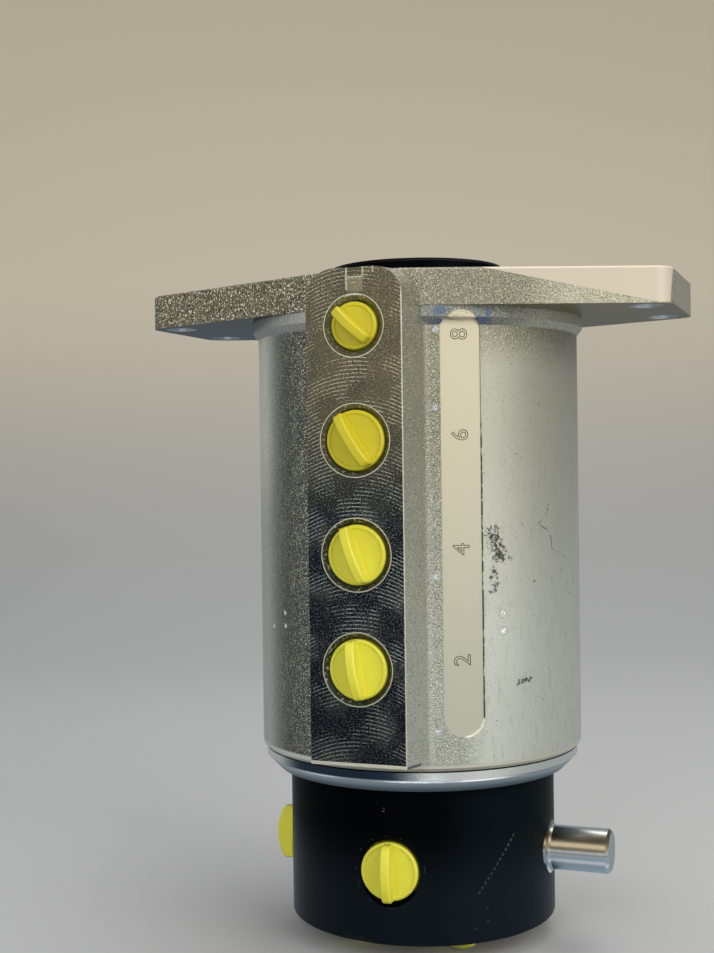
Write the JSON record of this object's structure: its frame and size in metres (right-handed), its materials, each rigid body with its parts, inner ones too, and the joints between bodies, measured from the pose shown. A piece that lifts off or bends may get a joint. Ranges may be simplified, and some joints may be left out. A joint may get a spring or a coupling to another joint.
{
  "type": "hydraulic rotary union",
  "caption": "Flanged cylindrical rotary union: cast stator with rows of capped ports on two machined bosses, turning round a black steel rotor with capped ports and a torque pin.",
  "frame": {"origin": "centre of the flange's upper mounting face, on the axis of rotation", "axes": "+Z out of the mounting face along the axis of rotation, so the body hangs towards -Z; X along the flange's long axis; the even-numbered ports face -Y"},
  "size_m": [0.174, 0.1322, 0.2168],
  "materials": {
    "zinc_plated_casting": "as cast, zinc plated, machined faces bare",
    "black_phosphated_steel": "black phosphate, satin",
    "turned_steel": "fine turned",
    "plated_pin_steel": "bright ground",
    "spring_steel": "blackened",
    "bronze": "turned bronze",
    "filled_ptfe": "smooth",
    "nitrile_rubber": "satin",
    "plug_steel": "blackened",
    "yellow_polyethylene": "soft satin, slightly translucent"
  },
  "bodies": {
    "stator": {"lower_dust_seal": "nitrile_rubber", "lower_thrust_washer": "bronze", "port_cap_stator_1": "yellow_polyethylene", "port_cap_stator_2": "yellow_polyethylene", "port_cap_stator_3": "yellow_polyethylene", "port_cap_stator_4": "yellow_polyethylene", "port_cap_stator_5": "yellow_polyethylene", "port_cap_stator_6": "yellow_polyethylene", "port_cap_stator_7": "yellow_polyethylene", "port_cap_stator_8": "yellow_polyethylene", "seal_energiser_1": "nitrile_rubber", "seal_energiser_2": "nitrile_rubber", "seal_energiser_3": "nitrile_rubber", "seal_energiser_4": "nitrile_rubber", "seal_energiser_5": "nitrile_rubber", "seal_energiser_6": "nitrile_rubber", "seal_energiser_7": "nitrile_rubber", "seal_energiser_8": "nitrile_rubber", "seal_energiser_9": "nitrile_rubber", "seal_ring_1": "filled_ptfe", "seal_ring_2": "filled_ptfe", "seal_ring_3": "filled_ptfe", "seal_ring_4": "filled_ptfe", "seal_ring_5": "filled_ptfe", "seal_ring_6": "filled_ptfe", "seal_ring_7": "filled_ptfe", "seal_ring_8": "filled_ptfe", "seal_ring_9": "filled_ptfe", "stator_housing": "zinc_plated_casting", "upper_thrust_washer": "bronze"},
    "rotor_assembly": {"circlip": "spring_steel", "collar_ring": "turned_steel", "drilling_plug_1": "plug_steel", "drilling_plug_2": "plug_steel", "drilling_plug_3": "plug_steel", "port_cap_rotor_1": "yellow_polyethylene", "port_cap_rotor_2": "yellow_polyethylene", "port_cap_rotor_3": "yellow_polyethylene", "port_cap_rotor_4": "yellow_polyethylene", "port_cap_rotor_5": "yellow_polyethylene", "port_cap_rotor_6": "yellow_polyethylene", "port_cap_rotor_7": "yellow_polyethylene", "port_cap_rotor_8": "yellow_polyethylene", "rotor": "black_phosphated_steel", "torque_pin": "plated_pin_steel"}
  },
  "joints": [
    {"name": "rotor_spin", "type": "hinge", "parent": "stator", "child": "rotor_assembly", "pos_m": [0, 0, -0.1], "axis": [0, 0, 1], "continuous": true}
  ]
}
